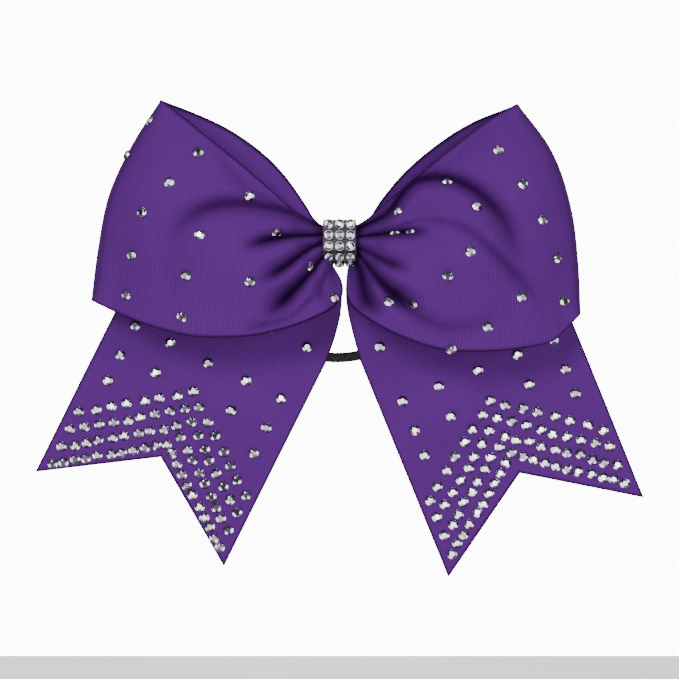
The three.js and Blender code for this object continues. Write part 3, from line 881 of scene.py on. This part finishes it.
def stones_object(name, places, normals, material, glints):
    """Stones at all the places as one mesh, each standing along its normal and turned a little about it."""
    vertices, faces = stone_shape(STONE_RADIUS, STONE_HEIGHT)
    all_points, all_faces, tones = [], [], []
    for place, normal in zip(places, normals):
        spin = RANDOM.uniform(-SPIN, SPIN)
        axis = Vector(normal).normalized()
        turn = axis.to_track_quat("Z", "Y").to_matrix() @ Matrix.Rotation(spin, 3, "Z")
        base = len(all_points) * len(vertices)
        all_points.append(vertices @ np.array(turn).T + np.array(place))
        all_faces += [tuple(base + i for i in face) for face in faces]
        tones.append(painted_facet_tones(vertices, faces, glints))
    mesh = bpy.data.meshes.new(name)
    mesh.from_pydata((np.concatenate(all_points) * MM).tolist(), [], all_faces)
    attribute = mesh.attributes.new("painted_glint", "FLOAT", "FACE")
    attribute.data.foreach_set("value", np.concatenate(tones).astype(np.float32))
    mesh.materials.append(material)
    obj = bpy.data.objects.new(name, mesh)
    bpy.context.collection.objects.link(obj)
    return obj


def surface_at(points, x, z):
    """(place, outward normal) on a grid of surface points, nearest to (x, z) as seen from the front."""
    gap = np.hypot(points[..., 0] - x, points[..., 2] - z)
    i, j = np.unravel_index(np.argmin(gap), gap.shape)
    i = min(max(i, 1), points.shape[0] - 2)
    j = min(max(j, 1), points.shape[1] - 2)
    normal = np.cross(points[i + 1, j] - points[i - 1, j], points[i, j + 1] - points[i, j - 1])
    normal /= np.linalg.norm(normal)
    if normal[1] > 0:
        normal = -normal
    return points[i, j] + normal * RIBBON_THICKNESS / 2, normal


def place_stones(points, spots):
    found = [surface_at(points, x, z) for x, z in spots]
    return [place for place, _ in found], [normal for _, normal in found]


# The stones scattered over each loop, as (x, z) seen from the front.
LOOP_STONES = {
    "left": [
        (-49.9, 30.9), (-59.6, 20.3), (-69.1, 10.2), (-72.8, -4.6), (-75.1, -18.9), (-32, 15.9), (-48.7, 1.3),
        (-53.6, -12.4), (-55, -26.9), (-22.3, 2.9), (-31.3, -14.2), (-10.8, -8.8), (-2, -19.9), (-67, 42.9),
        (-75.5, 30.7),
    ],
    "right": [
        (56, 31.5), (64.3, 19.7), (71.4, 7.4), (76.6, -6.1), (79.6, -21), (37.6, 20.3), (47.9, 11.4),
        (45.7, -4.3), (63.7, -19.9), (37.8, -12.2), (52.6, -30), (39.7, -37.8), (21.2, 9.9), (19.4, 2.2),
        (25.2, 3.2), (17.1, -21.5), (26.7, -22),
    ],
}

CHEVRON_ROWS = 4
CHEVRON_FIRST = 30.8  # from where the tail lies flat down to the first row's middle
CHEVRON_PITCH = 7
CHEVRON_REACH = 33.6  # of each arm, to both sides of the tail's centreline
CHEVRON_DROP = 0.75  # how steeply the arms run down
CHEVRON_ARM_STONES = 7  # in the first row, and one more in each row below it

LATTICE_COLUMN = 14.75  # from one column of the scattered stones to the next
# The scattered rows on a tail, as (distance down from where it lies flat, columns from its centreline).
LATTICE_ROWS = [
    (-2.0, [-2, -1, 0, 1, 2]), (19.0, [-2, -1, 0, 1, 2]), (30.8, [-2, -1, 1, 2]), (40.5, [-2, 2]),
]


def add_loop_stones(side, points, material):
    places, normals = place_stones(points, LOOP_STONES[side])
    stones = stones_object("loop_stones_" + side, places, normals, material, PAINTED_GLINT_SECTORS[side])
    blend_loop(stones)


def chevron_spots(tail):
    """The chevron rows above the dovetail cut."""
    spots = []
    for row in range(CHEVRON_ROWS):
        across = np.linspace(-CHEVRON_REACH, CHEVRON_REACH, 2 * (CHEVRON_ARM_STONES + row) + 1)
        along = CHEVRON_FIRST + CHEVRON_PITCH * row + CHEVRON_DROP * np.abs(across)
        spots += [(tail["sign"] * x, z) for x, z in tail_point(tail, across, along)]
    return spots


def lattice_spots(tail):
    """The single stones between the loop and the chevrons."""
    places = [(column * LATTICE_COLUMN, along) for along, columns in LATTICE_ROWS for column in columns]
    spots = [tail_point(tail, across, along) for across, along in places]
    return [(tail["sign"] * x, z) for x, z in spots]


def add_tail_stones(side, points, material):
    tail = TAILS[side]
    for kind, spots in (("chevron", chevron_spots(tail)), ("scattered", lattice_spots(tail))):
        places, normals = place_stones(points, spots)
        stones = stones_object(f"{kind}_stones_{side}", places, normals, material, PAINTED_GLINT_SECTORS[side])
        if kind == "chevron":
            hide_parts(*[f"stone_row_{side}_{row + 1}" for row in range(CHEVRON_ROWS)])
        blend_tail(stones)


# The knot --------------------------------------------------------------------------------------------

BAND_ROWS = 5
BAND_COLUMNS = 3
BAND_PITCH = 3.9
BAND_TOP_ROW = 6.4
BAND_FRONT = -16.2
BAND_TURN_Z = -0.4  # where the band starts to turn under
BAND_TURN_RADIUS = 7.6
BAND_STONE_RADIUS, BAND_STONE_HEIGHT = 1.42, 0.85
BAND_STONE_FOOT = 0.42  # how high a stone sits in its setting
# A setting's turned section, as (radius, height): its floor, wall, rolled rim and seat.
CUP_SECTION = [
    (0.85, -0.1), (1.68, -0.1), (1.78, 0.15), (1.80, 0.60), (1.75, 0.92), (1.60, 1.04), (1.46, 0.98),
    (1.40, 0.75), (1.34, 0.4),
]
CUP_SIDES = 24
CUP_TONE = 0.5

CORE_HALF_LENGTH = 5.9
CORE_STEPS, CORE_SIDES = 40, 144
CORE_PLEATS = 11
CORE_CENTRE = (-9.6, 0.2)  # y and z
CORE_RADII = (3.9, 5.6)
CORE_SPREAD = 0.3  # how far its ribbon is spread out, for the bump of its ribs


def band_place(column, row):
    """(place, outward normal) of a stone on the band, which runs straight down and then under the knot."""
    x = (column - (BAND_COLUMNS - 1) / 2) * BAND_PITCH
    down = row * BAND_PITCH
    straight = BAND_TOP_ROW - BAND_TURN_Z
    if down <= straight:
        return np.array([x, BAND_FRONT, BAND_TOP_ROW - down]), np.array([0.0, -1.0, 0.0])
    turn = (down - straight) / BAND_TURN_RADIUS
    normal = np.array([0, -math.cos(turn), -math.sin(turn)])
    middle = np.array([x, BAND_FRONT + BAND_TURN_RADIUS, BAND_TURN_Z])
    return middle + BAND_TURN_RADIUS * normal, normal


def cup_shape():
    """(vertices, faces) of a round stone setting: a turned wall, a rolled rim and a floor, in millimetres."""
    sides, rings = CUP_SIDES, len(CUP_SECTION)
    vertices = [place for radius, z in CUP_SECTION for place in ring_of(radius, z, sides)]
    faces = []
    for k in range(rings - 1):
        low, high = k * sides, (k + 1) * sides
        for i in range(sides):
            j = (i + 1) % sides
            faces.append((low + i, low + j, high + j, high + i))
    faces.append(tuple(reversed(range(sides))))
    faces.append(tuple((rings - 1) * sides + i for i in range(sides)))
    return np.array(vertices), faces


def add_band(crystal, silver):
    """The band's rhinestones in their silver settings, as one piece."""
    stone, stone_faces = stone_shape(BAND_STONE_RADIUS, BAND_STONE_HEIGHT)
    stone = stone + np.array([0, 0, BAND_STONE_FOOT])
    cup, cup_faces = cup_shape()
    points, faces, glints, kinds = [], [], [], []
    base = 0
    for row in range(BAND_ROWS):
        for column in range(BAND_COLUMNS):
            place, normal = band_place(column, row)
            spin = Matrix.Rotation(RANDOM.uniform(0, 1), 3, "Z")
            turn = np.array(Vector(normal).to_track_quat("Z", "Y").to_matrix() @ spin)
            tones = painted_facet_tones(stone, stone_faces, PAINTED_GLINT_SECTORS["band"])
            parts = ((stone, stone_faces, tones), (cup, cup_faces, np.full(len(cup_faces), CUP_TONE)))
            for kind, (shape, shape_faces, shape_tones) in enumerate(parts):
                points.append(shape @ turn.T + place)
                faces += [tuple(base + i for i in face) for face in shape_faces]
                glints.append(shape_tones)
                kinds += [kind] * len(shape_faces)
                base += len(shape)
    mesh = bpy.data.meshes.new("band_rhinestones")
    mesh.from_pydata((np.concatenate(points) * MM).tolist(), [], faces)
    painted_glint = mesh.attributes.new("painted_glint", "FLOAT", "FACE")
    painted_glint.data.foreach_set("value", np.concatenate(glints).astype(np.float32))
    mesh.materials.append(crystal)
    mesh.materials.append(silver)
    mesh.polygons.foreach_set("material_index", kinds)
    mesh.polygons.foreach_set("use_smooth", [kind == 1 for kind in kinds])
    obj = bpy.data.objects.new("band_rhinestones", mesh)
    bpy.context.collection.objects.link(obj)
    rows, columns = range(1, BAND_ROWS + 1), range(1, BAND_COLUMNS + 1)
    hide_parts(*[f"band_stone_{row}_{column}" for row in rows for column in columns])
    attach(obj, "knot")


def add_core(material):
    """The ribbon's gathered middle inside the wrap: a bundle of deep pleats, waisted where the tie grips."""
    x = np.linspace(-CORE_HALF_LENGTH, CORE_HALF_LENGTH, CORE_STEPS + 1)
    x_grid, angle = np.meshgrid(x, np.linspace(0, 2 * math.pi, CORE_SIDES + 1), indexing="ij")
    waist = 0.80 + 0.16 * smoothstep(1.2, 5, np.abs(x_grid))
    ridge = np.cos(CORE_PLEATS * angle + 0.6 * np.sin(3 * angle))
    pleated = waist * (1 + 0.07 * ridge)
    y = CORE_CENTRE[0] + CORE_RADII[0] * pleated * np.sin(angle)
    z = CORE_CENTRE[1] + CORE_RADII[1] * pleated * np.cos(angle)
    points = np.stack([x_grid, y, z], axis=-1)
    uv = np.stack([x_grid, angle * 12], axis=-1)
    marks = {
        # Painted shade, darker between the pleats.
        "fold": 0.5 - 0.4 * ridge,
        "edge": np.zeros_like(ridge),
        "spread": np.full_like(ridge, CORE_SPREAD),
    }
    core = grid_object("gathered_core", points * MM, uv * MM, material, marks=marks)
    close_tube(core)
    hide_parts("ribbon_core")
    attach(core, "knot")


def finish_node(name, material):
    """Gives a CAD node that stays in view its material."""
    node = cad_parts[name]
    node.data.materials.clear()
    node.data.materials.append(material)


# The bow ---------------------------------------------------------------------------------------------

add_camera()
add_elastic(elastic_material())
add_studio()
purple = ribbon_material()
crystal = stone_material()
for side in ("left", "right"):
    loop_points = add_loop(side, purple)
    add_loop_stones(side, loop_points, crystal)
    tail_points = add_tail(side, purple)
    add_tail_stones(side, tail_points, crystal)
add_core(purple)
add_band(crystal, cup_material())
finish_node("centre_wrap", wrap_material())
finish_node("band_base", net_material())
finish_node("cinch_tie", nylon_material())
